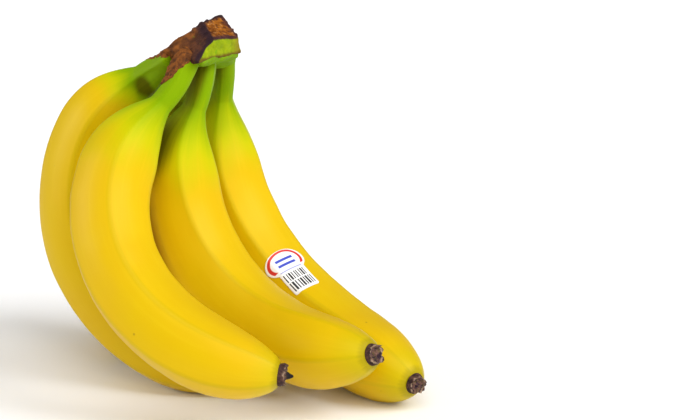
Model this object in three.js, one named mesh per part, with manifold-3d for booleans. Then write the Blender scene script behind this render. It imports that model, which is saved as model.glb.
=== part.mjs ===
// A bunch of five bananas on one crown, standing by itself on three of the bananas.
// Millimetres, +Z up. The origin is the middle of the footprint, on the surface that the bunch
// stands on. -Y is the side that the bananas curl towards.

import * as THREE from 'three';
import { mergeVertices } from 'three/addons/utils/BufferGeometryUtils.js';
import Module from 'manifold-3d';

const wasm = await Module();
wasm.setup();

// ---- driving dimensions ----

const crownCentre = new THREE.Vector3( - 12.5, 12.7, 167 );

// What all five bananas share, along the axis from the root in the crown to the blossom end.
const neckLength = 26;
const neckRadius = 5.7;
const plugLength = 3; // the neck's rounded end inside the crown
const plugRadius = 3.1;
const shoulderLength = 40; // from the neck to the full girth
const taperLength = 50; // from the full girth to the blossom end
const endRadius = 5.6;
const waist = 0.06; // how much the middle of the body is thicker than its two thirds points
const ridge = 0.22; // 0 is a round section, 1 a five-sided one

// One row a banana. root is from the crown's centre and sunk is how far the neck goes on into
// the crown. length and radius are those of the fruit. ridgeAt is where one of its five corners
// lies at the root, in degrees from the inside of the bend, and ridgeTwist how far it moves to
// the tip. The banana bends in a plane that faces
// `facing` degrees from +X towards +Y and leans back by `lean`. In that plane its heading is
// `start` degrees from straight down at the root, `neck` below the neck and `end` at the tip.
// splay and drift turn the heading out of the plane, at the root and towards the tip. hook bends
// the sunk part further, in degrees a millimetre. swell is a local bulge where a banana presses
// on its neighbours: how high, at what arc, how far it spreads along and towards which angle.
const fingers = [
	{ name: 'banana_back_left', root: [ - 16.5, - 1, - 8.3 ], sunk: 4, length: 229, radius: 18.4,
		facing: - 27, lean: - 20, start: - 68, neck: - 73, end: 85, splay: 29, drift: 9, skew: 0.5,
		ridgeAt: 70, ridgeTwist: 0, swell: { size: 4, at: 19, spread: 13, toward: 330 } },
	{ name: 'banana_front_left', root: [ - 7.5, - 13, - 9 ], sunk: 6, hook: 6, length: 209,
		radius: 18.5, facing: - 17, lean: - 35, start: - 10, neck: - 53, end: 91, splay: 1, drift: 9, skew: 0.35,
		ridgeAt: 72, ridgeTwist: 0 },
	{ name: 'banana_middle', root: [ 0.5, 1, - 10 ], sunk: 6, length: 215, radius: 18.7,
		facing: - 30, lean: - 4, start: 12, neck: - 34, end: 105, splay: - 22, drift: - 10, skew: 0.35,
		ridgeAt: 74, ridgeTwist: - 62, swell: { size: 2.8, at: 92, spread: 34, toward: 140 } },
	{ name: 'banana_right', root: [ 9, 14.5, - 9.7 ], sunk: 6, length: 228, radius: 19.8,
		facing: - 32, lean: 5, start: - 9, neck: - 29, end: 86, splay: 11, drift: - 19, skew: 0.75,
		ridgeAt: 70, ridgeTwist: - 50 },
	{ name: 'banana_rear', root: [ - 8.5, 14, - 5.7 ], sunk: 3, length: 209, radius: 18.5,
		facing: - 59, lean: - 6, start: - 43, neck: - 77, end: 70, splay: 23, drift: - 13, skew: 0.05,
		ridgeAt: 60, ridgeTwist: 0 },
];

const noSwell = { size: 0, at: 0, spread: 1, toward: 0 };

// The crown is a block with worn edges. Each row is a face: the way it looks, and how far from
// the crown's centre it lies.
const crownFaces = [
	{ normal: [ - 0.38, - 0.52, 0.76 ], distance: 8 }, // torn from the next hand
	{ normal: [ 0.38, - 0.20, 0.90 ], distance: 8.2 }, // cut from the stalk
	{ normal: [ 0.78, - 0.62, 0 ], distance: 12.8 },
	{ normal: [ 0.885, 0.38, 0.20 ], distance: 17.3 },
	{ normal: [ 0.20, 0.97, - 0.10 ], distance: 21.4 },
	{ normal: [ - 0.63, 0.11, 0.77 ], distance: 8.6 },
	{ normal: [ - 0.57, 0.22, 0.79 ], distance: 7.8 },
	{ normal: [ - 0.85, 0.45, - 0.25 ], distance: 18.2 },
	{ normal: [ - 0.68, - 0.58, - 0.45 ], distance: 17 },
	{ normal: [ 0.20, - 0.15, - 0.97 ], distance: 9.5 },
];
const crownSharpness = 16;

// A strip torn off with the next hand hangs between the two left bananas.
const strip = { from: [ - 7.8, - 14, - 3.2 ], to: [ - 18, - 21.8, - 17.6 ],
	outward: [ - 0.35, - 0.85, 0.4 ], radius: 6, tipRadius: 1, flatness: 0.3 };

const blossomEnd = { length: 3.4, rim: 5.5, hollow: 1, styleRadius: 1.7, styleLength: 1.4 };
const longStyle = 5; // on the front left banana, where the dried style is still whole

// The label, unrolled on the right banana: along its axis, and around it from the inner curve.
const label = { top: 119.5, headMiddle: 128, bottom: 150.5, headHalfWidth: 11.8, tabHalfWidth: 7.7,
	corner: 1.5, around: 8, lift: 0.6, thickness: 0.3 };

const gap = 0.3; // between neighbouring pieces
const stepsAround = 20;
const stepsAlong = 28;
const crowding = 0.68; // how much closer the rings of facets lie at the two ends of a banana

// ---- materials ----

function material( name, color, roughness ) {

	return new THREE.MeshStandardMaterial( { name, color, roughness, metalness: 0 } );

}

const skin = material( 'skin', 0xf0c81e, 0.45 );
const crownTissue = material( 'crown', 0x8a7a34, 0.8 );
const dried = material( 'dried', 0x43302c, 0.9 );
const paper = material( 'label', 0xf4f4f2, 0.5 );

// ---- the axis of a banana ----

const { clamp, degToRad, smoothstep } = THREE.MathUtils;

class FingerAxis extends THREE.Curve {

	constructor( finger, steps = 320 ) {

		super();
		this.finger = finger;
		this.steps = steps;
		const facing = degToRad( finger.facing );
		const lean = degToRad( finger.lean );
		const side = new THREE.Vector3( - Math.sin( facing ), Math.cos( facing ), 0 );
		this.forward = new THREE.Vector3( Math.cos( facing ), Math.sin( facing ), 0 );
		this.down = side.clone().multiplyScalar( Math.sin( lean ) );
		this.down.z -= Math.cos( lean );
		this.across = this.forward.clone().cross( this.down );

		// Running sum of the headings gives the points, which are then moved to lead through the root.
		const step = ( finger.length + finger.sunk ) / steps;
		this.points = [ new THREE.Vector3() ];
		for ( let i = 0; i < steps; i ++ ) {

			const { along } = this.getFrame( ( i + 0.5 ) / steps );
			this.points.push( this.points[ i ].clone().addScaledVector( along, step ) );

		}

		const move = new THREE.Vector3( ...finger.root ).add( crownCentre )
			.sub( this.getPoint( this.getT( 0 ) ) );
		this.points.forEach( ( point ) => point.add( move ) );

	}

	getPoint( t, target = new THREE.Vector3() ) {

		const x = clamp( t, 0, 1 ) * this.steps;
		const i = Math.min( Math.floor( x ), this.steps - 1 );
		return target.lerpVectors( this.points[ i ], this.points[ i + 1 ], x - i );

	}

	// Distance from the root. The axis starts at - sunk, inside the crown.
	getArc( t ) {

		const { length, sunk } = this.finger;
		return t * ( length + sunk ) - sunk;

	}

	getT( arc ) {

		const { length, sunk } = this.finger;
		return ( arc + sunk ) / ( length + sunk );

	}

	// along is the heading, inner points to the inside of the bend, outward makes the third axis
	getFrame( t ) {

		const { length, start, neck, end, splay, drift, skew, hook = 0 } = this.finger;
		const s = this.getArc( t );
		const u = clamp( ( s - neckLength / 2 ) / ( length - neckLength / 2 ), 0, 1 );
		const heading = degToRad( start + ( neck - start ) * smoothstep( s, 0, 1.3 * neckLength )
			+ ( end - neck ) * ( u + skew * u * ( 1 - u ) ) + hook * Math.min( s, 0 ) );
		const turn = degToRad( splay * ( 1 - smoothstep( s, 0, 2 * neckLength ) ) + drift * u );
		const along = new THREE.Vector3()
			.addScaledVector( this.forward, Math.cos( turn ) * Math.sin( heading ) )
			.addScaledVector( this.down, Math.cos( turn ) * Math.cos( heading ) )
			.addScaledVector( this.across, Math.sin( turn ) );
		const inner = new THREE.Vector3()
			.addScaledVector( this.forward, Math.cos( heading ) )
			.addScaledVector( this.down, - Math.sin( heading ) );
		return { along, inner, outward: along.clone().cross( inner ) };

	}

	// neck, shoulder, body and rounded end
	getRadius( t ) {

		const { length, radius } = this.finger;
		const s = this.getArc( t );
		const rise = clamp( ( s - 0.9 * neckLength ) / shoulderLength, 0, 1 );
		const fall = clamp( ( length - s ) / taperLength, 0, 1 );
		const plug = 1 - clamp( ( s + this.finger.sunk ) / plugLength, 0, 1 );
		const stem = plugRadius + ( neckRadius - plugRadius ) * Math.sqrt( 1 - plug * plug );
		const middle = 1 - waist * ( ( s - 0.55 * length ) / ( 0.5 * length ) ) ** 2;
		const body = stem + ( radius * middle - stem ) * ( 1 - ( 1 - rise ) ** 2.2 ) ** 1.3;
		return endRadius + ( body - endRadius ) * ( 1 - ( 1 - fall ) ** 2.8 ) ** 0.75;

	}

	// A point of the skin, `lift` above it. angle is in radians from the inside of the bend.
	getSkin( t, angle, lift = 0, share = 1 ) {

		const { inner, outward } = this.getFrame( t );
		const { size, at, spread, toward } = this.finger.swell ?? noSwell;
		const swell = size * Math.exp( - ( ( ( this.getArc( t ) - at ) / spread ) ** 2 ) )
			* Math.max( 0, Math.cos( angle - degToRad( toward ) ) ) ** 2;
		const reach = share * ( this.getRadius( t ) * this.getSection( t, angle ) + swell + lift );
		return this.getPoint( t )
			.addScaledVector( inner, reach * Math.cos( angle ) )
			.addScaledVector( outward, reach * Math.sin( angle ) );

	}

	// A circle blended with a five-sided figure whose corners are rounded, about 1 on average.
	getSection( t, angle ) {

		const { length, ridgeAt, ridgeTwist } = this.finger;
		const corner = degToRad( ridgeAt + ridgeTwist * clamp( this.getArc( t ) / length, 0, 1 ) );
		let sum = 0;
		for ( let k = 0; k < 5; k ++ ) {

			const face = corner + ( k + 0.5 ) * 2 * Math.PI / 5;
			sum += Math.max( 0, Math.cos( angle - face ) ) ** 12;

		}

		const polygon = sum ** ( - 1 / 12 ) / 1.06;
		return 1 - ridge + ridge * polygon;

	}

}

// ---- solids ----

function solidOf( geometry ) {

	geometry.deleteAttribute( 'normal' );
	geometry.deleteAttribute( 'uv' );
	const merged = mergeVertices( geometry, 1e-3 );
	return new wasm.Manifold( new wasm.Mesh( {
		numProp: 3,
		vertProperties: new Float32Array( merged.attributes.position.array ),
		triVerts: new Uint32Array( merged.index.array ),
	} ) );

}

function geometryOf( solid ) {

	const mesh = solid.getMesh();
	const geometry = new THREE.BufferGeometry();
	geometry.setAttribute( 'position', new THREE.BufferAttribute( mesh.vertProperties, 3 ) );
	geometry.setIndex( new THREE.BufferAttribute( mesh.triVerts, 1 ) );
	geometry.computeVertexNormals();
	return geometry;

}

function moveVertices( geometry, place ) {

	const position = geometry.attributes.position;
	const p = new THREE.Vector3();
	for ( let i = 0; i < position.count; i ++ ) {

		p.fromBufferAttribute( position, i );
		position.setXYZ( i, ...place( p ).toArray() );

	}

	return geometry;

}

// A closed cylinder bent along the axis of a banana and given its section.
function fingerSolid( axis, lift = 0 ) {

	const blank = new THREE.CylinderGeometry( 1, 1, 1, stepsAround, stepsAlong );
	return solidOf( moveVertices( blank, ( p ) => {

		const share = Math.hypot( p.x, p.z );
		const v = 0.5 + p.y;
		const t = v - crowding * Math.sin( 2 * Math.PI * v ) / ( 2 * Math.PI );
		return axis.getSkin( t, Math.atan2( p.x, p.z ), lift, share )
			.addScaledVector( axis.getFrame( t ).along, lift * Math.sign( p.y ) );

	} ) );

}

// A sphere pushed out to a set of faces. The high power keeps the edges fairly sharp.
function crownSolid() {

	const blank = new THREE.IcosahedronGeometry( 1, 7 );
	const faces = crownFaces.map( ( { normal, distance } ) => ( {
		normal: new THREE.Vector3( ...normal ).normalize(), distance } ) );
	return solidOf( moveVertices( blank, ( p ) => {

		const direction = p.clone().normalize();
		let sum = 0;
		for ( const { normal, distance } of faces ) {

			sum += Math.max( 0, normal.dot( direction ) / distance ) ** crownSharpness;

		}

		return direction.multiplyScalar( sum ** ( - 1 / crownSharpness ) ).add( crownCentre );

	} ) );

}

function stripSolid() {

	const from = new THREE.Vector3( ...strip.from ).add( crownCentre );
	const to = new THREE.Vector3( ...strip.to ).add( crownCentre );
	const along = to.clone().sub( from ).normalize();
	const wide = along.clone().cross( new THREE.Vector3( ...strip.outward ) ).normalize();
	const cone = new THREE.CylinderGeometry( strip.tipRadius, strip.radius, from.distanceTo( to ), 8, 4 );
	cone.scale( 1, 1, strip.flatness );
	cone.applyMatrix4( new THREE.Matrix4().makeBasis( wide, along, wide.clone().cross( along ) ) );
	cone.translate( ...from.add( to ).multiplyScalar( 0.5 ).toArray() );
	return solidOf( cone );

}

// A short stub with a raised rim, a hollow inside it and the stump of the style in the middle.
function blossomGeometry( styleLength ) {

	const { length, rim, hollow, styleRadius } = blossomEnd;
	const profile = [
		[ 0, 0 ], [ endRadius - 0.4, 0 ], [ rim, 0.4 * length ], [ rim - 0.2, length ],
		[ rim - 1.2, length - 0.2 ], [ styleRadius + 0.5, length - hollow ],
		[ styleRadius, length - hollow + 0.6 ], [ 0.5 * styleRadius, length - hollow + styleLength ],
		[ 0, length - hollow + 1.15 * styleLength ],
	];
	return new THREE.LatheGeometry( profile.map( ( xy ) => new THREE.Vector2( ...xy ) ), 12 );

}

// A thin plate laid round the banana. Its half width is an ellipse above and a tab below.
function labelSolid( axis ) {

	const { top, headMiddle, bottom, headHalfWidth, tabHalfWidth, corner, around, thickness } = label;
	const blank = new THREE.BoxGeometry( 1, 1, 1, 8, 1, 14 );
	const { radius } = axis.finger;
	return solidOf( moveVertices( blank, ( p ) => {

		const s = THREE.MathUtils.lerp( top + 0.2, bottom, 0.5 + p.z );
		const rise = ( s - headMiddle ) / ( headMiddle - top );
		const head = Math.abs( rise ) < 1 ? headHalfWidth * Math.sqrt( 1 - rise * rise ) : 0;
		const toEnd = clamp( ( bottom - s ) / corner, 0, 1 );
		const tab = s > headMiddle ? tabHalfWidth - corner * ( 1 - Math.sqrt( 1 - ( 1 - toEnd ) ** 2 ) ) : 0;
		const angle = ( around - 2 * p.x * Math.max( head, tab ) ) / radius;
		return axis.getSkin( axis.getT( s ), angle, label.lift + ( 0.5 + p.y ) * thickness );

	} ) );

}

// Everything below the surface: what is taken off where a banana presses on it.
const below = solidOf( new THREE.BoxGeometry( 600, 600, 60 ).translate( 0, 0, - 30 ) );

// ---- assembly ----

const group = new THREE.Group();

function addPiece( name, geometry, material ) {

	const mesh = new THREE.Mesh( geometry, material );
	mesh.name = name;
	group.add( mesh );
	return mesh;

}

let crown = crownSolid().add( stripSolid() );

for ( const finger of fingers ) {

	const axis = new FingerAxis( finger );
	crown = crown.subtract( fingerSolid( axis, gap + 0.05 ) );
	addPiece( finger.name, geometryOf( fingerSolid( axis ).subtract( below ) ), skin );

	const { along } = axis.getFrame( 1 );
	const isLong = finger.name === 'banana_front_left';
	const end = blossomGeometry( isLong ? longStyle : blossomEnd.styleLength );
	const blossom = addPiece( finger.name.replace( 'banana', 'blossom_end' ), end, dried );
	blossom.position.copy( axis.getPoint( 1 ) ).addScaledVector( along, gap );
	blossom.quaternion.setFromUnitVectors( THREE.Object3D.DEFAULT_UP, along );

	if ( finger.name === 'banana_right' ) addPiece( 'label', geometryOf( labelSolid( axis ) ), paper );

}

addPiece( 'crown', geometryOf( crown ), crownTissue );

export default group;
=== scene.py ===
import bpy
import numpy as np
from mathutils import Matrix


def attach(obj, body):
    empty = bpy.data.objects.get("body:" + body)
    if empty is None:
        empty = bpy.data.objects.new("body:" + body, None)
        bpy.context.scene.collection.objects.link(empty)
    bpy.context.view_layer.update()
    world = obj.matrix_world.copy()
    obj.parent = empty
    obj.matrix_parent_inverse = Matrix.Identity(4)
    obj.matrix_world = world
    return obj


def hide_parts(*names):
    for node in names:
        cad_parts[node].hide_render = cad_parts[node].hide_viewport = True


# Bunch of five bananas on a cut crown. Every piece is worked out in the frame's own metres, from
# the sizes of the solids with finer detail added, and stands for one solid of the frame. The
# crown's solid has four pieces: the block, the collar and two strips of torn skin.

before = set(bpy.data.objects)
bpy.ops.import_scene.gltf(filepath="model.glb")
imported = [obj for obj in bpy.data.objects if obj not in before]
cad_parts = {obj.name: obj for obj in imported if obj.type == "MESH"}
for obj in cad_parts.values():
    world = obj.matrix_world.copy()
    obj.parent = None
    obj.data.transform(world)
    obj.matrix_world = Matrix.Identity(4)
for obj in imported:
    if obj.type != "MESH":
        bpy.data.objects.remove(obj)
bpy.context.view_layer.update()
print("bunch of bananas: frame loaded,", len(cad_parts), "solids")

mm = 0.001


def clip01(x):
    return np.clip(x, 0.0, 1.0)


def easeStep(x, low, high):
    # 0 below low, 1 above high, and the cubic 3t^2 - 2t^3 between
    t = clip01((x - low) / (high - low))
    return t * t * (3 - 2 * t)


def unit(v):
    v = np.asarray(v, float)
    return v / np.linalg.norm(v, axis=-1, keepdims=True)


def ripple(points, size, seed, count=28):
    # Soft noise about 0, at a feature size in metres: a sum of sine waves in random directions,
    # each of 0.6 to 1.5 times that size's frequency, divided by the root of their number
    rng = np.random.default_rng(seed)
    waves = unit(rng.normal(size=(count, 3))) * rng.uniform(0.6, 1.5, (count, 1)) * 2 * np.pi / size
    phases = rng.uniform(0, 2 * np.pi, count)
    return np.sin(points @ waves.T + phases).sum(-1) / np.sqrt(count)


def grain(points, direction, size, stretch, seed):
    # the same noise drawn out along a direction, as fibres are
    d = unit(direction)
    squeezed = points - (1 - 1 / stretch) * (points @ d)[..., None] * d
    return ripple(squeezed, size, seed)


def gridMesh(name, points, values, flat=False):
    # points is rows x columns x 3, closed round the columns. Each end row is closed by a fan to
    # its middle, or on a flat piece by a strip between its front half and its back half. values
    # are more numbers on the same grid, kept as attributes.
    rows, columns = points.shape[:2]
    here = np.arange(rows * columns).reshape(rows, columns)
    there = np.roll(here, -1, axis=1)
    quads = np.stack([here[:-1], there[:-1], there[1:], here[1:]], -1).reshape(-1, 4)
    if flat:
        front = np.arange(columns // 2 - 1)
        back = columns - 1 - front
        foot = here[0][np.stack([front + 1, front, back, back - 1], -1)]
        head = here[-1][np.stack([front, front + 1, back - 1, back], -1)]
    else:
        foot = np.stack([there[0], here[0], np.full(columns, rows * columns)], -1)
        head = np.stack([here[-1], there[-1], np.full(columns, rows * columns + 1)], -1)

    def withMiddles(grid):
        # one row for each vertex, with the middles of the two fans last
        listed = grid.reshape(rows * columns, -1)
        if not flat:
            listed = np.concatenate([listed, [grid[0].mean(0), grid[-1].mean(0)]])
        return listed.astype(np.float32)

    verts = withMiddles(points)
    corners = np.concatenate([quads.ravel(), foot.ravel(), head.ravel()])
    sizes = np.concatenate([np.full(len(quads), 4), np.full(2 * len(foot), foot.shape[1])])
    mesh = bpy.data.meshes.new(name)
    mesh.vertices.add(len(verts))
    mesh.vertices.foreach_set("co", verts.ravel())
    mesh.loops.add(len(corners))
    mesh.loops.foreach_set("vertex_index", corners.astype(np.int32))
    starts = np.concatenate([[0], np.cumsum(sizes)[:-1]])
    mesh.polygons.add(len(sizes))
    mesh.polygons.foreach_set("loop_start", starts.astype(np.int32))
    mesh.update(calc_edges=True)
    mesh.validate()
    mesh.polygons.foreach_set("use_smooth", np.ones(len(sizes), bool))
    for key, value in values.items():
        value = value.reshape(rows, columns, -1)
        kind, field = ("FLOAT", "value") if value.shape[2] == 1 else ("FLOAT_VECTOR", "vector")
        mesh.attributes.new(key, kind, "POINT").data.foreach_set(field, withMiddles(value).ravel())
    return mesh


def addPiece(name, mesh, material, node):
    piece = bpy.data.objects.new(name, mesh)
    bpy.context.scene.collection.objects.link(piece)
    mesh.materials.append(material)
    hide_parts(node)
    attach(piece, "root")


class Wire:
    # One output of a node tree. Arithmetic on it adds Math nodes.

    def __init__(self, tree, socket=None):
        self.tree = tree
        self.socket = socket

    def node(self, kind, settings=None, links=None, out=0):
        # settings are the node's own, and links are values or wires for its sockets
        made = self.tree.nodes.new(kind)
        for key, value in (settings or {}).items():
            setattr(made, key, value)
        for key, value in (links or {}).items():
            if isinstance(value, Wire):
                self.tree.links.new(value.socket, made.inputs[key])
            else:
                made.inputs[key].default_value = value
        return Wire(self.tree, made.outputs[out] if len(made.outputs) else None)

    def maths(self, operation, *values):
        return self.node("ShaderNodeMath", {"operation": operation}, dict(enumerate(values)))

    def __add__(self, other):
        return self.maths("ADD", self, other)

    def __sub__(self, other):
        return self.maths("SUBTRACT", self, other)

    def __rsub__(self, other):
        return self.maths("SUBTRACT", other, self)

    def __mul__(self, other):
        return self.maths("MULTIPLY", self, other)

    def __pow__(self, other):
        return self.maths("POWER", self, other)

    __radd__ = __add__
    __rmul__ = __mul__

    def step(self, low, high):
        # smooth step from 0 at low to 1 at high, also with low above high
        values = {"Value": self, "From Min": low, "From Max": high, "To Min": 0.0, "To Max": 1.0}
        return self.node("ShaderNodeMapRange", {"interpolation_type": "SMOOTHSTEP"}, values)

    def attribute(self, name, out="Fac"):
        return self.node("ShaderNodeAttribute", {"attribute_name": name}, out=out)

    def noise(self, vector, scale, detail=2.0, roughness=0.5):
        values = {"Vector": vector, "Scale": scale, "Detail": detail, "Roughness": roughness}
        return self.node("ShaderNodeTexNoise", {}, values)

    def blend(self, factor, first, second):
        # colours: factor 0 gives first, 1 gives second. The Mix node's colour sockets are its
        # inputs 6 and 7 and its output 2.
        values = {0: factor, 6: first, 7: second}
        return self.node("ShaderNodeMix", {"data_type": "RGBA"}, values, out=2)

    def stretched(self, vector, by):
        values = {0: vector, 1: by}
        return self.node("ShaderNodeVectorMath", {"operation": "MULTIPLY"}, values)


def tint(red, green, blue):
    # 0 to 255 as a screen shows them, to the linear values that a shader takes
    s = np.array([red, green, blue]) / 255
    linear = np.where(s <= 0.04045, s / 12.92, ((s + 0.055) / 1.055) ** 2.4)
    return (*linear.tolist(), 1.0)


def newMaterial(name):
    material = bpy.data.materials.new(name)
    material.use_nodes = True
    tree = material.node_tree
    tree.nodes.clear()
    return material, Wire(tree)


def finishMaterial(w, sockets, bumps=()):
    # each bump is a height in metres and a strength, and they are laid one on another
    normal = None
    for height, strength in bumps:
        links = {"Height": height, "Strength": strength, "Distance": 1.0}
        if normal:
            links["Normal"] = normal
        normal = w.node("ShaderNodeBump", {}, links)
    if normal:
        sockets = {**sockets, "Normal": normal}
    shader = w.node("ShaderNodeBsdfPrincipled", {}, sockets)
    w.node("ShaderNodeOutputMaterial", {}, {"Surface": shader})


crownCentre = np.array([-12.5, 12.7, 167]) * mm

# what all five bananas share
fruit = {
    "neckLength": 26 * mm,
    "neckRadius": 5.7 * mm,
    "plugLength": 3 * mm,     # the neck's rounded end inside the crown
    "plugRadius": 3.1 * mm,
    "mergeShrink": 0.35,      # how much thinner a neck is in there where the crown swells round it
    "shoulder": 40 * mm,
    "shoulderFrom": 0.9,      # where it starts, in neck lengths
    "shoulderCurve": (2.2, 1.3),
    "taper": 50 * mm,
    "taperCurve": (2.8, 0.75),
    "endRadius": 5.6 * mm,
    "flare": 0.04,            # how much the neck widens where it meets the crown
    "flareAt": 1 * mm,
    "flareSpread": 3.5 * mm,
    "waist": 0.06,
    "waistAt": 0.55,          # as a share of the length
    "ridge": 0.46,            # 0 is a round section, 1 a five-sided one
    "ridgeAtEnd": 0.35,       # the share of it that is left at the blossom end
    "corner": 44,             # how sharp the five corners are
    "cornerReach": 1.08,      # evens out the girth of the five-sided figure
    "longSwell": (0.22 * mm, 60 * mm),    # height and size of the skin's unevenness
    "shortSwell": (0.07 * mm, 17 * mm),
    "wrinkle": 0.12 * mm,     # along the neck
    "rings": 260,
    "around": 120,
}

# Lengths are in millimetres and angles in degrees. root is where the neck leaves the crown, from
# the crown's centre, and sunk how far it goes on inside. facing and lean turn the plane that the
# fruit bends in, and start, neck and end are its headings there, from straight down. skew bends
# it sooner, and hook bends the sunk part. splay turns the neck out of the plane, and drift the
# body. ridgeAt is the angle of a corner at the neck, from the inside of the bend, and ridgeTwist
# how far the corners turn on the way down. swells are (height, arc, spread, angle) each. green is
# where the neck's green ends, and how sharply. rub is painted shade, a dark patch put on the skin
# where a neighbour's shade falls, (arc, spread, angle, strength, how narrow), and a strength of 0
# is none. merge says whether the crown swells round the neck's end.
bananas = {
    "banana_back_left": dict(
        root=(-16.5, -1, -8.3), sunk=4, length=229, radius=18.4, facing=-27, lean=-20,
        start=-68, neck=-73, end=85, splay=29, drift=9, skew=0.5, ridgeAt=70, ridgeTwist=0,
        hook=0, swells=[(4.0, 19, 13, 330), (1.6, 25, 8, 330), (-1.7, 3, 9, 145)],
        green=(29, 2.6), paintedShadePatch=(22, 6, 25, 1.0, 3), merge=0),
    "banana_front_left": dict(
        root=(-7.5, -13, -9), sunk=6, length=209, radius=18.5, facing=-17, lean=-35,
        start=-10, neck=-53, end=91, splay=1, drift=9, skew=0.35, ridgeAt=72, ridgeTwist=0,
        hook=60, swells=[], green=(31, 1), paintedShadePatch=(0, 1, 0, 0, 1), merge=0),
    "banana_middle": dict(
        root=(0.5, 1, -10), sunk=6, length=215, radius=18.7, facing=-30, lean=-4,
        start=12, neck=-34, end=105, splay=-22, drift=-10, skew=0.35, ridgeAt=74, ridgeTwist=-62,
        hook=0, swells=[(2.8, 92, 34, 140)], green=(31, 1), paintedShadePatch=(88, 34, 124, 0.85, 16), merge=0),
    "banana_right": dict(
        root=(9, 14.5, -9.7), sunk=6, length=228, radius=19.8, facing=-32, lean=5,
        start=-9, neck=-29, end=86, splay=11, drift=-19, skew=0.75, ridgeAt=70, ridgeTwist=-50,
        hook=0, swells=[], green=(29, 1.1), paintedShadePatch=(0, 1, 0, 0, 1), merge=1),
    "banana_rear": dict(
        root=(-8.5, 14, -5.7), sunk=3, length=209, radius=18.5, facing=-59, lean=-6,
        start=-43, neck=-77, end=70, splay=23, drift=-13, skew=0.05, ridgeAt=60, ridgeTwist=0,
        hook=0, swells=[], green=(40, 1.1), paintedShadePatch=(42, 10, 0, 0.6, 3), merge=1),
}


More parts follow.
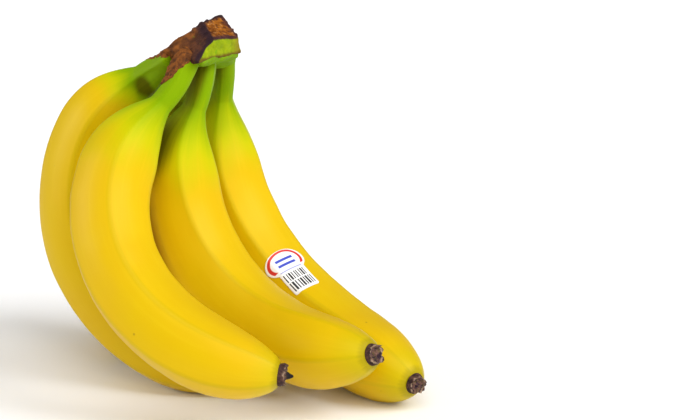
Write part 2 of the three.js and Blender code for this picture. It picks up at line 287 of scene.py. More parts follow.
class FingerAxis:
    # The middle line of a banana. It bends in a leaning plane: its heading there goes from
    # start to neck to end, and splay and drift turn it out of that plane. Adding up the
    # headings gives the points.

    def __init__(self, finger, steps=1200):
        self.finger = finger
        self.length = finger["length"] * mm
        self.sunk = finger["sunk"] * mm
        facing, lean = np.radians([finger["facing"], finger["lean"]])
        side = np.array([-np.sin(facing), np.cos(facing), 0])
        self.forward = np.array([np.cos(facing), np.sin(facing), 0])
        self.down = np.array([0, 0, -np.cos(lean)]) + side * np.sin(lean)
        self.across = np.cross(self.forward, self.down)
        self.arcs = np.linspace(-self.sunk, self.length, steps + 1)
        middles = (self.arcs[1:] + self.arcs[:-1]) / 2
        root = np.array(finger["root"]) * mm + crownCentre
        pieces = self.heading(middles)[0] * np.diff(self.arcs)[:, None]
        line = np.concatenate([np.zeros((1, 3)), np.cumsum(pieces, 0)])
        atRoot = np.array([np.interp(0, self.arcs, line[:, k]) for k in range(3)])
        self.line = line + root - atRoot

    def heading(self, arc):
        # along, inner (towards the inside of the bend) and outward, one row for each arc
        f = self.finger
        neck = fruit["neckLength"]
        u = clip01((arc - neck / 2) / (self.length - neck / 2))
        bend = f["start"] + (f["neck"] - f["start"]) * easeStep(arc, 0, 1.3 * neck)
        bend = bend + (f["end"] - f["neck"]) * (u + f["skew"] * u * (1 - u))
        bend = np.radians(bend + f["hook"] * np.minimum(arc, 0) / (10 * mm))  # inside the crown
        turn = np.radians(f["splay"] * (1 - easeStep(arc, 0, 2 * neck)) + f["drift"] * u)
        bend, turn = bend[..., None], turn[..., None]
        along = np.cos(turn) * (np.sin(bend) * self.forward + np.cos(bend) * self.down)
        along = along + np.sin(turn) * self.across
        inner = np.cos(bend) * self.forward - np.sin(bend) * self.down
        return along, inner, np.cross(along, inner)

    def point(self, arc):
        return np.stack([np.interp(arc, self.arcs, self.line[:, k]) for k in range(3)], -1)

    def radius(self, arc):
        # The neck, which starts as a quarter circle in the crown and flares where it leaves it,
        # blends into the body over the shoulder, and the body into the blossom end over the
        # taper. Each blend is (1 - (1 - t) ^ a) ^ b. The body thins as a parabola both ways.
        girth = self.finger["radius"] * mm
        neckRadius, plugRadius, endRadius = fruit["neckRadius"], fruit["plugRadius"], fruit["endRadius"]
        plug = 1 - clip01((arc + self.sunk) / fruit["plugLength"])
        stem = plugRadius + (neckRadius - plugRadius) * np.sqrt(1 - plug ** 2)
        inside = 1 - easeStep(arc, -3 * mm, 3 * mm)
        stem = stem * (1 - fruit["mergeShrink"] * self.finger["merge"] * inside)
        flare = np.exp(-((arc - fruit["flareAt"]) / fruit["flareSpread"]) ** 2)
        stem = stem * (1 + fruit["flare"] * flare)
        fromWaist = (arc - fruit["waistAt"] * self.length) / (0.5 * self.length)
        middle = girth * (1 - fruit["waist"] * fromWaist ** 2)
        rise = clip01((arc - fruit["shoulderFrom"] * fruit["neckLength"]) / fruit["shoulder"])
        a, b = fruit["shoulderCurve"]
        body = stem + (middle - stem) * (1 - (1 - rise) ** a) ** b
        fall = clip01((self.length - arc) / fruit["taper"])
        a, b = fruit["taperCurve"]
        return endRadius + (body - endRadius) * (1 - (1 - fall) ** a) ** b

    def cornerAngle(self, arc):
        f = self.finger
        return np.radians(f["ridgeAt"] + f["ridgeTwist"] * clip01(arc / self.length))

    def section(self, arc, angle):
        # a circle blended with a five-sided figure, whose reach is the power mean of its sides
        power = fruit["corner"]
        sides = self.cornerAngle(arc)[..., None] + (np.arange(5) + 0.5) * 2 * np.pi / 5
        total = (np.maximum(0, np.cos(angle[..., None] - sides)) ** power).sum(-1)
        kept = fruit["ridgeAtEnd"]
        kept = kept + (1 - kept) * easeStep(self.length - arc, 4 * mm, 45 * mm)
        amount = fruit["ridge"] * kept
        return 1 - amount + amount * total ** (-1 / power) / fruit["cornerReach"]

    def outwards(self, arc, angle):
        # unit directions square to the middle line, turned by angle from the inside of the bend
        along, inner, outward = self.heading(arc)
        return np.cos(angle)[..., None] * inner + np.sin(angle)[..., None] * outward

    def skin(self, arc, angle, lift=0.0):
        # The middle line plus, outwards, the radius times the section, with bell-shaped swells
        # added. arc and angle are arrays of one shape.
        swell = 0.0
        for size, at, spread, toward in self.finger["swells"]:
            facing = np.maximum(0, np.cos(angle - np.radians(toward))) ** 2
            swell = swell + size * mm * np.exp(-((arc / mm - at) / spread) ** 2) * facing
        reach = self.radius(arc) * self.section(arc, angle) + swell + lift
        return self.point(arc) + reach[..., None] * self.outwards(arc, angle)


def ringArcs(axis, count):
    # even steps less a sine wave: rings lie closer where the neck and the blossom end curve most
    v = np.linspace(0, 1, count)
    v = v - 0.55 * np.sin(2 * np.pi * v) / (2 * np.pi)
    return -axis.sunk + v * (axis.length + axis.sunk)


# how far off a neighbour still darkens the skin with painted shade, near the crown and further down
reachOfShade = {"atCrown": 13.2 * mm, "below": 3.8 * mm, "from": 15 * mm, "to": 60 * mm}


def paintedGapShade(points, ring, arc, others):
    # Painted shade between the bananas: 0 in the open and up to 1 where the skin looks across a
    # narrow gap at another banana. It dies away with the gap, which is to the nearest place on the
    # other's middle line, less its radius there.
    spots, outward = points.reshape(-1, 3), ring.reshape(-1, 3)
    below = reachOfShade["below"]
    nearCrown = 1 - easeStep(arc.ravel(), reachOfShade["from"], reachOfShade["to"])
    felt = below + (reachOfShade["atCrown"] - below) * nearCrown
    amount = np.zeros(len(spots))
    for other in others:
        along = np.linspace(-other.sunk, other.length, 100)
        centres = other.point(along)
        squares = (spots ** 2).sum(-1)[:, None] + (centres ** 2).sum(-1) - 2 * spots @ centres.T
        gaps = np.maximum(0, np.sqrt(np.maximum(0, squares)) - other.radius(along))
        nearest = gaps.argmin(1)
        facing = clip01(0.35 + (outward * unit(centres[nearest] - spots)).sum(-1))
        amount = np.maximum(amount, facing * np.exp(-gaps.min(1) / felt))
    return amount.reshape(arc.shape)


def uneven(points, seed):
    # how far the skin stands off its even shape: long shallow swells with smaller ones on them
    (longHeight, longSize), (height, size) = fruit["longSwell"], fruit["shortSwell"]
    return longHeight * ripple(points, longSize, seed) + height * ripple(points, size, seed + 1)


def bananaMesh(name, axis, others, seed):
    # The skin from the crown to the blossom end, uneven and with fine ribs along the neck, and
    # cut level where it stands. Its values place the colours.
    arcs = ringArcs(axis, fruit["rings"])
    angles = np.linspace(0, 2 * np.pi, fruit["around"], endpoint=False)
    arc, angle = np.meshgrid(arcs, angles, indexing="ij")
    points = axis.skin(arc, angle)
    ring = axis.outwards(arc, angle)
    fromCorner = 5 * (angle - axis.cornerAngle(arc))
    wrinkle = fruit["wrinkle"] * np.sin(fromCorner) * (1 - easeStep(arc, 12 * mm, 40 * mm))
    fade = easeStep(arc, -axis.sunk, 8 * mm) * easeStep(axis.length - arc, 0, 10 * mm)
    points = points + ((uneven(points, seed) + wrinkle) * fade)[..., None] * ring
    points[..., 2] = np.maximum(points[..., 2], 0.02 * mm)  # pressed flat where it stands
    greenEnd, sharp = axis.finger["green"]
    # painted shade patch: the skin darkened where a neighbour's shade falls on it, in the colours of
    # the painted gap shade
    at, spread, toward, strength, narrow = axis.finger["paintedShadePatch"]
    side = np.maximum(0, np.cos(angle - np.radians(toward))) ** narrow
    paintedShadePatch = np.exp(-((arc / mm - at) / spread) ** 2) * side
    values = {
        "fromRoot": 31 + (arc / mm - greenEnd) * sharp,
        "fromEnd": (axis.length - arc) / mm,
        "corner": np.cos(fromCorner) * 0.5 + 0.5,
        "paintedGapShade": np.maximum(paintedGapShade(points, ring, arc, others), strength * paintedShadePatch),
        "skinPoint": np.stack([np.cos(angle), np.sin(angle), arc / (60 * mm)], -1),
    }
    return gridMesh(name, points, values)


skinLook = {
    "yellow": tint(211, 175, 0),
    "deep": tint(211, 167, 0),
    "pale": tint(218, 185, 20),
    "lime": tint(180, 187, 0),
    "green": tint(115, 154, 0),
    "tipGreen": tint(178, 170, 0),
    "tipRing": tint(118, 110, 8),
    # painted shade for the narrow gaps between bananas, near the crown and further down
    "paintedGapShade": tint(66, 67, 0),
    "paintedWarmGapShade": tint(128, 82, 0),
    "ridge": tint(186, 161, 0),
    "speck": tint(110, 78, 20),
    "roughness": 0.46,
    "shine": 0.2,
    "shineTint": (1.0, 0.8, 0.15, 1.0),  # straight on; the sheen at the edges stays white
    "bloom": 0.15,  # the waxy coat of the yellow skin, which the green necks lack
    "bloomRoughness": 0.42,
    "speckCells": 150.0,  # cells to a metre, of which a few hold a speck
}


def skinMaterial():
    look = skinLook
    material, w = newMaterial("bananaSkin")
    place = w.node("ShaderNodeTexCoord", out="Object")
    fromRoot = w.attribute("fromRoot")
    fromEnd = w.attribute("fromEnd")
    corner = w.attribute("corner")
    skinPoint = w.attribute("skinPoint", "Vector")
    paintedGapShadeAmount = w.attribute("paintedGapShade")
    patches = w.noise(place, 26.0, 3.0)
    streaks = w.noise(w.stretched(skinPoint, (7.0, 7.0, 0.7)), 1.0, 3.0, 0.6)
    fine = w.noise(w.stretched(skinPoint, (30.0, 30.0, 3.0)), 1.0, 2.0)
    colour = w.blend(patches.step(0.3, 0.75) * 0.6, look["yellow"], look["deep"])
    colour = w.blend(streaks.step(0.45, 0.8) * 0.35, colour, look["pale"])
    colour = w.blend(corner.step(0.93, 1.0) * 0.4, colour, look["ridge"])
    # neck: green, then lime, then yellow, further down along the corners
    reach = fromRoot + (patches - 0.5) * 26.0 - corner * 5.0 + (streaks - 0.5) * 10.0
    colour = w.blend(reach.step(71.0, 33.0) * 0.9, colour, look["lime"])
    colour = w.blend(reach.step(46.0, 16.0), colour, look["green"])
    tipReach = fromEnd + (patches - 0.5) * 14.0 + (streaks - 0.5) * 4.0
    colour = w.blend(tipReach.step(18.0, 1.0) * 0.5, colour, look["tipGreen"])
    ringReach = fromEnd + (streaks - 0.5) * 2.5
    colour = w.blend(ringReach.step(3.0, 0.4) * 0.45, colour, look["tipRing"])
    # painted shade between the bananas: dark olive between the necks, and a warmer brown further down
    shade = w.blend(fromRoot.step(40.0, 75.0), look["paintedGapShade"], look["paintedWarmGapShade"])
    colour = w.blend((paintedGapShadeAmount + (streaks - 0.5) * 0.25).step(0.12, 0.75) * 0.9, colour, shade)
    # a few small brown specks
    cells = {"Vector": place, "Scale": look["speckCells"], "Randomness": 1.0}
    spots = w.node("ShaderNodeTexVoronoi", {"feature": "F1"}, cells)
    pick = w.node("ShaderNodeTexVoronoi", {"feature": "F1"}, cells, out="Color")
    chosen = w.node("ShaderNodeSeparateColor", {}, {"Color": pick})
    specks = spots.step(0.13, 0.05) * chosen.step(0.955, 0.965)
    colour = w.blend(specks * 0.5, colour, look["speck"])
    colour = w.blend(fine.step(0.3, 0.7) * 0.06, colour, look["deep"])
    roughness = look["roughness"] + (fine - 0.5) * 0.1 + (patches - 0.5) * 0.08 + paintedGapShadeAmount * 0.4
    sockets = {
        "Base Color": colour,
        "Roughness": roughness,
        "Specular IOR Level": look["shine"],
        "Specular Tint": look["shineTint"],
        "Coat Weight": reach.step(20.0, 75.0) * (1 - paintedGapShadeAmount.step(0.05, 0.5)) * look["bloom"],
        "Coat Roughness": look["bloomRoughness"],
    }
    finishMaterial(w, sockets, [(fine * 0.00003, 0.5), (streaks * 0.00012, 0.4)])
    return material


blossom = {
    "length": 2.8 * mm,
    "rim": 5.15 * mm,
    "hollow": 1.2 * mm,
    "rows": 84,
    "around": 96,
}

# The dried flower on each banana's tip. style and base are the length and base radius of the
# style's stub in millimetres, ragged is how uneven the rim is, and oval how much wider the
# remnant is one way than the other, turned by degrees. The front left one keeps its whole style.
remnants = {
    "back_left": dict(style=1.2, base=1.5, ragged=0.5, oval=0.08, turned=40, seed=3),
    "front_left": dict(style=5.2, base=2.3, ragged=0.25, oval=0.06, turned=0, seed=14),
    "middle": dict(style=0.8, base=1.4, ragged=0.6, oval=0.06, turned=75, seed=25),
    "right": dict(style=1.0, base=1.4, ragged=0.5, oval=0.14, turned=60, seed=36),
    "rear": dict(style=1.2, base=1.5, ragged=0.5, oval=0.05, turned=10, seed=47),
}


def blossomMesh(name, axis, remnant):
    # A profile of straight pieces turned round the end of the fruit. Its outline is a circle plus
    # waves of two and five to the turn, and the rim is ragged, with a dried hollow and the stub
    # of the style inside.
    length, rim, hollow = blossom["length"], blossom["rim"], blossom["hollow"]
    style, styleLength = remnant["base"] * mm, remnant["style"] * mm
    ragged, seed = remnant["ragged"], remnant["seed"]
    tall = length - hollow
    profile = np.array([
        [4.6 * mm, -0.6 * mm], [5.2 * mm, 0.0], [rim, 0.3 * length], [rim - 0.2 * mm, 0.8 * length],
        [rim - 0.5 * mm, length], [rim - 1.0 * mm, length], [style + 1.4 * mm, tall + 0.2 * mm],
        [style + 0.2 * mm, tall], [0.62 * style, tall + 0.5 * styleLength],
        [0.3 * style, tall + 0.85 * styleLength], [0.05 * style, tall + styleLength],
    ])
    v = np.linspace(0, len(profile) - 1, blossom["rows"])
    knots = np.arange(len(profile))
    radius = np.interp(v, knots, profile[:, 0])[:, None]
    height = np.interp(v, knots, profile[:, 1])[:, None]
    angle = np.linspace(0, 2 * np.pi, blossom["around"], endpoint=False)[None, :]
    disc = np.stack([radius * np.cos(angle), radius * np.sin(angle), height + 0 * angle], -1)
    atRim = np.exp(-((radius - rim + 0.5 * mm) / (0.9 * mm)) ** 2)
    atRim = atRim * easeStep(height, 0, 0.5 * length)
    turned = np.radians(remnant["turned"])
    corners = np.cos(5 * (angle - turned))
    shape = 0.035 * corners + remnant["oval"] * np.cos(2 * (angle - turned))
    shape = shape + 0.05 * ripple(disc, 5 * mm, seed) + 0.03 * ripple(disc, 2 * mm, seed + 8)
    radius = radius * (1 + shape * easeStep(height, -0.3 * mm, 1.5 * mm))
    jagged = ripple(disc, 3 * mm, seed + 2) + 0.4 * corners
    height = height + atRim * ragged * mm * jagged
    height = height + 0.28 * mm * ripple(disc, 1.3 * mm, seed + 5) * easeStep(height, 0, 1 * mm)
    along, inner, outward = [a[0] for a in axis.heading(np.array([axis.length]))]
    centre = axis.point(np.array([axis.length]))[0]
    points = centre + (radius * np.cos(angle))[..., None] * inner
    points = points + (radius * np.sin(angle))[..., None] * outward + height[..., None] * along
    points[..., 2] = np.maximum(points[..., 2], 0.0)
    patchy = 0.35 + 0.65 * easeStep(ripple(disc, 5 * mm, seed + 3), -0.6, 0.6)
    ring = np.exp(-((radius - rim + 0.95 * mm) / (0.36 * mm)) ** 2)
    ring = ring * easeStep(height, 0.5 * length, 0.8 * length)
    # only a whole style is dark at its tip
    dark = easeStep(height, tall + 0.25 * styleLength, tall + 0.6 * styleLength)
    dark = dark * (styleLength > 3 * mm)
    dish = easeStep(rim - radius, 0.8 * mm, 1.6 * mm) * (1 - dark)
    values = {"paleRing": ring * patchy, "dish": dish, "blackTip": dark * np.ones_like(radius)}
    return gridMesh(name, points, values)


driedLook = {
    "outside": (tint(40, 24, 26), tint(84, 54, 44)),
    "inside": (tint(40, 22, 40), tint(118, 84, 72)),
    "olive": tint(96, 84, 34),
    "paleRing": tint(186, 156, 128),
    "blackTip": tint(22, 16, 18),
}


def driedMaterial():
    look = driedLook
    material, w = newMaterial("driedFlower")
    place = w.node("ShaderNodeTexCoord", out="Object")
    coarse = w.noise(place, 420.0, 4.0, 0.6)
    fine = w.noise(place, 1600.0, 3.0, 0.6)
    colour = w.blend(coarse.step(0.35, 0.65), *look["outside"])
    inside = w.blend(coarse.step(0.38, 0.62), *look["inside"])
    inside = w.blend(w.noise(place, 800.0, 2.0).step(0.5, 0.62) * 0.6, inside, look["olive"])
    colour = w.blend(w.attribute("dish") * 0.85, colour, inside)
    ring = w.attribute("paleRing") * fine.step(0.25, 0.55)
    colour = w.blend(ring * 0.9, colour, look["paleRing"])
    colour = w.blend(w.attribute("blackTip"), colour, look["blackTip"])
    sockets = {"Base Color": colour, "Roughness": 0.75 + fine * 0.2, "Specular IOR Level": 0.3}
    finishMaterial(w, sockets, [(coarse * 0.0008, 0.8), (fine * 0.0003, 0.6)])
    return material


# each side of the crown: the way it faces, and how many millimetres from the centre it lies
crownFaces = {
    "torn": ((-0.38, -0.52, 0.76), 8.0),
    "stalk": ((0.38, -0.20, 0.90), 8.2),
    "front": ((0.78, -0.62, 0.0), 12.8),
    "right": ((0.90, 0.40, 0.12), 17.0),
    "back": ((0.20, 0.97, -0.10), 21.4),
    "left": ((-0.63, 0.11, 0.77), 8.6),
    "ledge": ((-0.57, 0.22, 0.79), 7.8),
    "rear": ((-0.85, 0.45, -0.25), 18.2),
    "low": ((-0.68, -0.58, -0.45), 17.0),
    "under": ((0.20, -0.15, -0.97), 9.5),
}

crown = {
    "rows": 190,
    "around": 300,
    "power": 26,  # how sharp its edges are
    "wander": 0.35,  # how far its sides wave, in millimetres
    "fibreWay": (-0.7, -0.3, -0.6),
}

# inset is how many millimetres the collar's sides lie inside the crown's, or outside below 0
collar = {
    "rows": 120,
    "around": 220,
    "power": 11,
    "wander": 0.5,
    "inset": {
        "torn": 3.5, "stalk": 3.5, "left": 3.5, "ledge": 3.5, "rear": 2, "low": 2,
        "front": 0.7, "right": 0.9, "back": 1.5, "under": -2.1,
    },
    "mound": 1.15,  # how wide the mound round a neck's end is, in neck radii
    "moundTop": 0.9,  # how far it reaches past that end, in neck radii
}

tornFaces = ("torn", "left", "ledge", "low")
farIn = 20  # millimetres, deeper than any colour of a side reaches


def crownValues(points, onStrip=False, plain=False):
    # millimetres in from each group of faces, for the colours. A strip counts as torn all over,
    # and a plain piece as no side's.
    inward = {}
    for key, (normal, distance) in crownFaces.items():
        inward[key] = distance - (points - crownCentre) @ unit(normal) / mm
    values = {
        "toTorn": np.minimum.reduce([inward[key] for key in tornFaces]),
        "toStalk": inward["stalk"],
        "toFront": inward["front"],
        "toRight": inward["right"],
        "toUnder": inward["under"],
    }
    if plain:
        values = {key: np.full(value.shape, farIn) for key, value in values.items()}
    if onStrip:
        under = values["toUnder"]
        values = {key: np.full(value.shape, farIn) for key, value in values.items()}
        values.update(toTorn=0 * under, toUnder=under)
    return values


def softBlock(faces, ball, power, wander):
    # Shares and distances for a body round the crown's centre: in each direction the distance is
    # the soft minimum, by a power mean, of the distances to the faces. The shares say how much
    # each face has in it.
    shares = {}
    for index, (key, (normal, distance)) in enumerate(faces.items()):
        far = distance + wander * ripple(ball * 15 * mm, 9 * mm, 60 + index)
        shares[key] = np.maximum(0, ball @ unit(normal) / far) ** power
    total = sum(shares.values())
    return {key: value / total for key, value in shares.items()}, total ** (-1 / power) * mm


def ballGrid(rows, columns):
    # unit directions, from next to the lower pole to next to the upper
    polar = np.linspace(np.pi - 0.004, 0.004, rows)[:, None]
    turn = np.linspace(0, 2 * np.pi, columns, endpoint=False)[None, :]
    up = np.cos(polar) + 0 * turn
    return np.stack([np.sin(polar) * np.cos(turn), np.sin(polar) * np.sin(turn), up], -1)


def collarMesh(name, axes):
    # The green cushion that the necks grow out of: the crown's block with its sides moved in and
    # its underside moved down, and a mound round the end of each neck that merges
    faces = dict(crownFaces)
    for key, inset in collar["inset"].items():
        normal, distance = faces[key]
        faces[key] = (normal, distance - inset)
    ball = ballGrid(collar["rows"], collar["around"])
    weight, reach = softBlock(faces, ball, collar["power"], collar["wander"])
    points = ball * reach[..., None] + crownCentre
    # a mound tops the neck's end, and dies away from the neck's direction as a bell curve does
    bare = 1 - sum(weight[key] for key in ("torn", "stalk", "left", "ledge"))
    for axis in axes.values():
        root = axis.point(np.array([2 * mm]))[0] - crownCentre
        far = np.linalg.norm(root)
        wide = collar["mound"] * fruit["neckRadius"] / far
        off = np.arccos(clip01(ball @ unit(root)))
        mound = np.exp(-(off / wide) ** 2) * axis.finger["merge"]
        top = far + collar["moundTop"] * fruit["neckRadius"]
        points = points + (mound * bare * np.maximum(0, top - reach))[..., None] * ball
    points = points + 0.3 * mm * ripple(points, 5 * mm, 71)[..., None] * ball
    values = crownValues(points, plain=True)
    values["depth"] = 0.5 + 0 * reach
    return gridMesh(name, points, values)


def crownMesh(name):
    # A soft block with wandering edges. Fibres and pits stand out of its torn sides and tufts
    # out of its cut top, each as soft noise.
    ball = ballGrid(crown["rows"], crown["around"])
    weight, reach = softBlock(crownFaces, ball, crown["power"], crown["wander"])
    points = ball * reach[..., None]
    torn = clip01(sum(weight[key] for key in tornFaces))
    stalk = weight["stalk"]
    fibre = grain(points, crown["fibreWay"], 3.2 * mm, 5, 21)
    pits = ripple(points, 4.5 * mm, 22)
    relief = torn * (0.34 * fibre + 0.30 * pits + 0.12 * ripple(points, 1.6 * mm, 27))
    tufts = ripple(points, 3.6 * mm, 23)
    relief = relief + stalk * (0.42 * tufts + 0.15 * ripple(points, 1.5 * mm, 28))
    relief = relief + 0.2 * ripple(points, 12 * mm, 24)
    relief = relief + (1 - clip01(torn + stalk)) * 0.10 * ripple(points, 3 * mm, 25)
    values = crownValues(points + crownCentre)
    # depth is the height of the relief, which the colours use for painted shade in its hollows and a
    # painted highlight on its tops
    values["depth"] = clip01(0.5 + 0.35 * (torn * (fibre + pits) + stalk * tufts))
    points = points + (relief * mm)[..., None] * ball + crownCentre
    return gridMesh(name, points, values)


# Torn skin of the crown that lies on the necks. Arcs and thickness are in millimetres, and the
# edges are degrees round the neck at these shares of the way down to the tip. curl is how far
# the free edge stands off the neck.
strips = {
    "banana_front_left": {
        "from": -6, "to": 15.8, "at": (0, 0.2, 0.4, 0.75, 1),
        "rightEdge": (2, 36, 72, 104, 141), "leftEdge": (166, 164, 162, 160, 151),
        "thickness": 1.0, "curl": 1.3,
    },
    "banana_back_left": {
        "from": -4, "to": 15, "at": (0, 0.3, 0.7, 1),
        "rightEdge": (80, 104, 130, 143), "leftEdge": (200, 176, 158, 149),
        "thickness": 0.4, "curl": 0,
    },
}


def stripMesh(name, axis, strip):
    # The cross-section is a thin lens from one angle round the neck to another, and it narrows
    # to a tip with ragged edges
    v = np.linspace(0, 1, 110)[:, None]
    phase = np.linspace(0, 2 * np.pi, 72, endpoint=False)[None, :]
    right = np.interp(v, strip["at"], strip["rightEdge"])
    left = np.interp(v, strip["at"], strip["leftEdge"])
    middle, half = (left + right) / 2, (left - right) / 2
    half = half * (1 + 0.10 * np.sin(v * 19) + 0.07 * np.sin(v * 43 + 1))
    arc = (strip["from"] + (strip["to"] - strip["from"]) * v) * mm + 0 * phase
    angle = np.radians(middle + half * np.cos(phase))
    free = 0.5 + 0.5 * np.cos(phase)
    fade = 1 - 0.6 * v ** 3
    lift = strip["curl"] * free ** 2 * easeStep(v, 0.1, 0.5)
    lift = lift + strip["thickness"] * (0.2 + 0.8 * np.sin(phase))
    lift = lift * fade * mm
    points = axis.skin(arc, angle, lift)
    rough = ripple(points * [1, 1, 0.4], 2.2 * mm, 31) + 0.6 * ripple(points, 1.2 * mm, 32)
    relief = 0.22 * mm * rough * np.maximum(0, np.sin(phase))
    points = points + relief[..., None] * axis.outwards(arc, angle)
    values = crownValues(points, onStrip=True)
    values["depth"] = clip01(0.5 + 0.4 * rough)
    return gridMesh(name, points, values)


crownLook = {
    "green": (tint(124, 146, 0), tint(150, 166, 4)),
    "rightEnd": tint(136, 112, 26),
    "lowerEdge": tint(96, 60, 14),
    "neckGreen": tint(112, 156, 4),
    "torn": (tint(84, 46, 18), tint(142, 82, 30)),
    "paintedTornPitShade": tint(58, 32, 20),
    "tornDark": tint(58, 34, 32),
    "tornEdge": tint(40, 22, 30),
    "stalk": (tint(108, 56, 8), tint(160, 94, 18)),
    "paintedStalkPitShade": tint(74, 34, 16),
    "paintedStalkHighlight": tint(206, 150, 92),
    "stalkRim": tint(50, 26, 38),
    "stalkByTorn": tint(48, 26, 30),
}


def crownMaterial():
    look = crownLook
    material, w = newMaterial("crownTissue")
    place = w.node("ShaderNodeTexCoord", out="Object")
    toTorn, toStalk, toUnder = w.attribute("toTorn"), w.attribute("toStalk"), w.attribute("toUnder")
    toFront, toRight, depth = w.attribute("toFront"), w.attribute("toRight"), w.attribute("depth")
    coarse = w.noise(place, 240.0, 4.0, 0.6)
    broad = w.noise(place, 90.0, 2.0)
    fine = w.noise(place, 1100.0, 4.0, 0.65)
    wobble = (coarse - 0.5) * 2.0
    # green outside, duller towards its right end and with a brown lower edge
    green = w.blend(coarse.step(0.3, 0.7), *look["green"])
    green = w.blend((toRight + wobble * 3.0).step(7.0, 1.0) * 0.75, green, look["rightEnd"])
    green = w.blend((toUnder + wobble).step(2.4, 0.6) * 0.85, green, look["lowerEdge"])
    green = w.blend(toUnder.step(15.0, 19.0) * 0.8, green, look["neckGreen"])
    # torn side: orange brown, with painted shade in the pits of its relief, and nearly black next to
    # the cut top and the green face
    torn = w.blend(coarse.step(0.3, 0.7), *look["torn"])
    torn = w.blend(depth.step(0.5, 0.1) * 0.6, torn, look["paintedTornPitShade"])
    torn = w.blend((toFront + (broad - 0.5) * 16.0).step(17.0, 4.0) * 0.8, torn, look["tornDark"])
    torn = w.blend((toStalk + wobble * 1.5).step(4.0, 1.0) * 0.9, torn, look["tornEdge"])
    torn = w.blend((toFront + wobble * 1.2).step(3.4, 1.0) * 0.9, torn, look["tornEdge"])
    # cut top: fibrous, with painted shade in its hollows, a painted highlight on its raised tufts and a
    # dark purple rim
    stalk = w.blend(coarse.step(0.38, 0.62), *look["stalk"])
    stalk = w.blend(depth.step(0.45, 0.1) * 0.8, stalk, look["paintedStalkPitShade"])
    stalk = w.blend(depth.step(0.62, 0.95) * fine.step(0.4, 0.6) * 0.7, stalk, look["paintedStalkHighlight"])
    rim = w.maths("MINIMUM", toRight, toFront * 1.6)
    stalk = w.blend((rim + wobble).step(4.4, 1.2) * 0.85, stalk, look["stalkRim"])
    stalk = w.blend((toTorn + wobble).step(2.6, 0.8) * 0.85, stalk, look["stalkByTorn"])
    colour = w.blend((toStalk + wobble * 0.3).step(1.1, 0.5), green, stalk)
    colour = w.blend((toTorn + wobble * 0.4).step(1.2, 0.6), colour, torn)
    sockets = {"Base Color": colour, "Roughness": 0.6 + fine * 0.25, "Specular IOR Level": 0.15}
    bumps = [(coarse * 0.0008, 0.7), (fine * 0.0004, 0.8)]
    finishMaterial(w, sockets, bumps)
    return material


# The label, unrolled on the right banana: top, headMiddle and bottom are along the middle line,
# and around is how far round the skin it sits from the inside of the bend
label = {
    "top": 119.5 * mm,
    "headMiddle": 128 * mm,
    "bottom": 150.5 * mm,
    "headHalf": 11.8 * mm,
    "tabHalf": 7.7 * mm,
    "leastHalf": 0.3 * mm,
    "corner": 1.5 * mm,
    "around": 8 * mm,
    "lift": 0.10 * mm,
    "thickness": 0.12 * mm,
    "rows": 72,
    "columns": 40,
}


def labelMesh(name, axis, seed):
    # A thin plate laid round the uneven skin, with half an ellipse for a head and a tab with
    # round corners. Rows run from the top of the head to the end of the tab, closer at both
    # ends. Each row goes across the front and comes back behind.
    v = np.linspace(0, 1, label["rows"])
    arc = label["top"] + (label["bottom"] - label["top"]) * (1 - np.cos(np.pi * v)) / 2
    rise = clip01(np.abs(arc - label["headMiddle"]) / (label["headMiddle"] - label["top"]))
    head = label["headHalf"] * np.sqrt(1 - rise ** 2)
    toEnd = clip01((label["bottom"] - arc) / label["corner"])
    tab = label["tabHalf"] - label["corner"] * (1 - np.sqrt(1 - (1 - toEnd) ** 2))
    least = np.where(arc > label["headMiddle"], tab, label["leastHalf"])
    half = np.maximum(head, least)[:, None]
    across = np.linspace(-1, 1, label["columns"])
    side = half * np.concatenate([across, across[::-1]])[None, :]
    front = np.repeat([1, 0], label["columns"])[None, :]
    angle = (label["around"] + side) / (axis.finger["radius"] * mm)
    arcs = arc[:, None] + 0 * angle
    points = axis.skin(arcs, angle)
    lift = uneven(points, seed) + label["lift"] + front * label["thickness"]
    points = points + lift[..., None] * axis.outwards(arcs, angle)
    values = {"labelAcross": side / mm, "labelDown": (arcs - label["headMiddle"]) / mm}
    return gridMesh(name, points, values, flat=True)


labelLook = {
    "paper": (tint(236, 236, 236), tint(248, 248, 247)),
    "bars": tint(24, 24, 28),
    "ring": tint(206, 44, 36),
    "stripes": tint(50, 70, 190),
    "rule": tint(90, 105, 200),
}


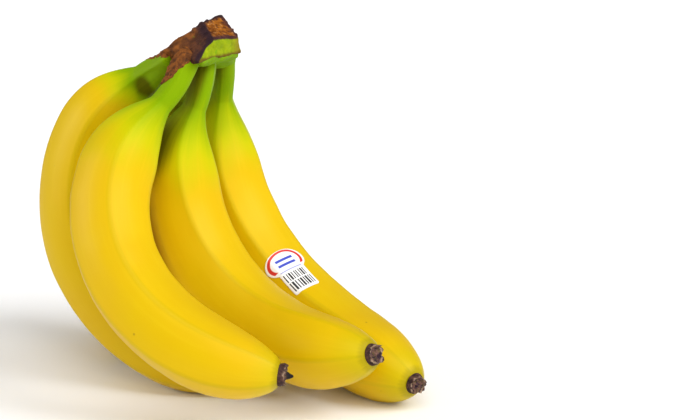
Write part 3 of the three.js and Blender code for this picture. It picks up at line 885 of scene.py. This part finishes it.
def labelMaterial():
    # White paper with a plain ring line, two short stripes, a rule and two rows of plain bars.
    # Every place on it is in millimetres across and down from the middle of the head.
    look = labelLook
    material, w = newMaterial("labelPaper")
    across, down = w.attribute("labelAcross"), w.attribute("labelDown")
    place = w.node("ShaderNodeTexCoord", out="Object")
    fibres = w.noise(place, 700.0, 3.0)
    paper = w.blend(fibres, *look["paper"])
    inTab = across.step(-6.6, -6.4) * across.step(6.6, 6.4)
    rowOne = down.step(7.6, 7.9) * down.step(13.4, 13.1)
    rowTwo = down.step(13.9, 14.2) * down.step(20.6, 20.3)
    wavesOne = w.maths("SINE", across * 4.4) + w.maths("SINE", across * 7.1 + 1.0) * 0.7
    wavesTwo = w.maths("SINE", across * 4.0 + 2.0) + w.maths("SINE", across * 6.3) * 0.7
    bars = rowOne * wavesOne.step(-0.05, 0.1) + rowTwo * wavesTwo.step(-0.15, 0.0)
    colour = w.blend(bars * inTab, paper, look["bars"])
    fromMiddle = (across * across + down * down * 1.6) ** 0.5
    ring = fromMiddle.step(8.4, 8.8) * fromMiddle.step(10.6, 10.2) * down.step(4.4, 4.0)
    colour = w.blend(ring, colour, look["ring"])
    short = across.step(-5.4, -5.1) * across.step(5.4, 5.1)
    upper = down.step(-3.0, -2.7) * down.step(-1.0, -1.3)
    lower = down.step(0.6, 0.9) * down.step(2.6, 2.3)
    colour = w.blend((upper + lower) * short, colour, look["stripes"])
    rule = down.step(5.3, 5.5) * down.step(6.3, 6.1) * inTab
    colour = w.blend(rule * 0.7, colour, look["rule"])
    sockets = {"Base Color": colour, "Roughness": 0.38 + fibres * 0.1, "Specular IOR Level": 0.5}
    finishMaterial(w, sockets, [(fibres * 0.00003, 0.4)])
    return material


skin, dried, tissue, paper = skinMaterial(), driedMaterial(), crownMaterial(), labelMaterial()

axes = {node: FingerAxis(finger) for node, finger in bananas.items()}
for index, (node, axis) in enumerate(axes.items()):
    which = node.replace("banana_", "")
    others = [other for other in axes.values() if other is not axis]
    seed = 100 + 7 * index
    name = "skin_" + which
    addPiece(name, bananaMesh(name, axis, others, seed), skin, node)
    name = "dried_flower_" + which
    addPiece(name, blossomMesh(name, axis, remnants[which]), dried, "blossom_end_" + which)
    if which == "right":
        addPiece("plain_label", labelMesh("plain_label", axis, seed), paper, "label")
print("bananas, dried flowers and label made")

addPiece("crown_block", crownMesh("crown_block"), tissue, "crown")
addPiece("crown_collar", collarMesh("crown_collar", axes), tissue, "crown")
for node, strip in strips.items():
    name = node.replace("banana", "torn_skin")
    addPiece(name, stripMesh(name, axes[node], strip), tissue, "crown")
print("crown made")


stage = {
    "floorSize": 16.0,
    "floorGrey": 0.98,
    "world": 0.20,
    # each soft lamp: the direction that it shines from, how wide it is in degrees and how strong
    "rightLamp": ((0.83, -0.3, 0.82), 36, 1.9),
    "frontLamp": ((0.05, -0.8, 1.1), 50, 1.5),
    "leftLamp": ((-1.0, -0.05, 0.42), 24, 1.1),
    "lowLamp": ((0.55, -0.85, 0.14), 40, 1.0),
    "cameraFrom": (0.0525, -0.9896, 0.3324),
    "cameraTilt": 76.0,
    "lens": 111.27,
    "sensor": 36.0,
    "seesTo": 20.0,
}


def addFloor():
    half = stage["floorSize"] / 2
    corners = [(-half, -half, 0), (half, -half, 0), (half, half, 0), (-half, half, 0)]
    mesh = bpy.data.meshes.new("floor")
    mesh.from_pydata(corners, [], [(0, 1, 2, 3)])
    floor = bpy.data.objects.new("floor", mesh)
    bpy.context.scene.collection.objects.link(floor)
    material, w = newMaterial("paleFloor")
    grey = stage["floorGrey"]
    sockets = {"Base Color": (grey, grey, grey, 1), "Roughness": 0.9, "Specular IOR Level": 0.1}
    finishMaterial(w, sockets)
    mesh.materials.append(material)


def addLamp(name, direction, width, power):
    light = bpy.data.lights.new(name, "SUN")
    light.energy = power
    light.angle = np.radians(width)
    lamp = bpy.data.objects.new(name, light)
    bpy.context.scene.collection.objects.link(lamp)
    lamp.location = direction
    x, y, z = direction
    # a lamp shines along its own -Z
    lamp.rotation_euler = (np.arctan2(np.hypot(x, y), z), 0.0, np.arctan2(-y, -x) - np.pi / 2)


addFloor()
for name in ("rightLamp", "frontLamp", "leftLamp", "lowLamp"):
    addLamp(name, *stage[name])

world = bpy.data.worlds.new("studio")
world.use_nodes = True
world.node_tree.nodes["Background"].inputs["Color"].default_value = (1, 1, 1, 1)
world.node_tree.nodes["Background"].inputs["Strength"].default_value = stage["world"]
bpy.context.scene.world = world
bpy.context.scene.view_settings.view_transform = "Standard"

view = bpy.data.cameras.new("camera")
view.lens = stage["lens"]
view.sensor_width = stage["sensor"]
view.clip_end = stage["seesTo"]
camera = bpy.data.objects.new("camera", view)
bpy.context.scene.collection.objects.link(camera)
camera.location = stage["cameraFrom"]
camera.rotation_euler = (np.radians(stage["cameraTilt"]), 0, 0)
bpy.context.scene.camera = camera
print("stage set")
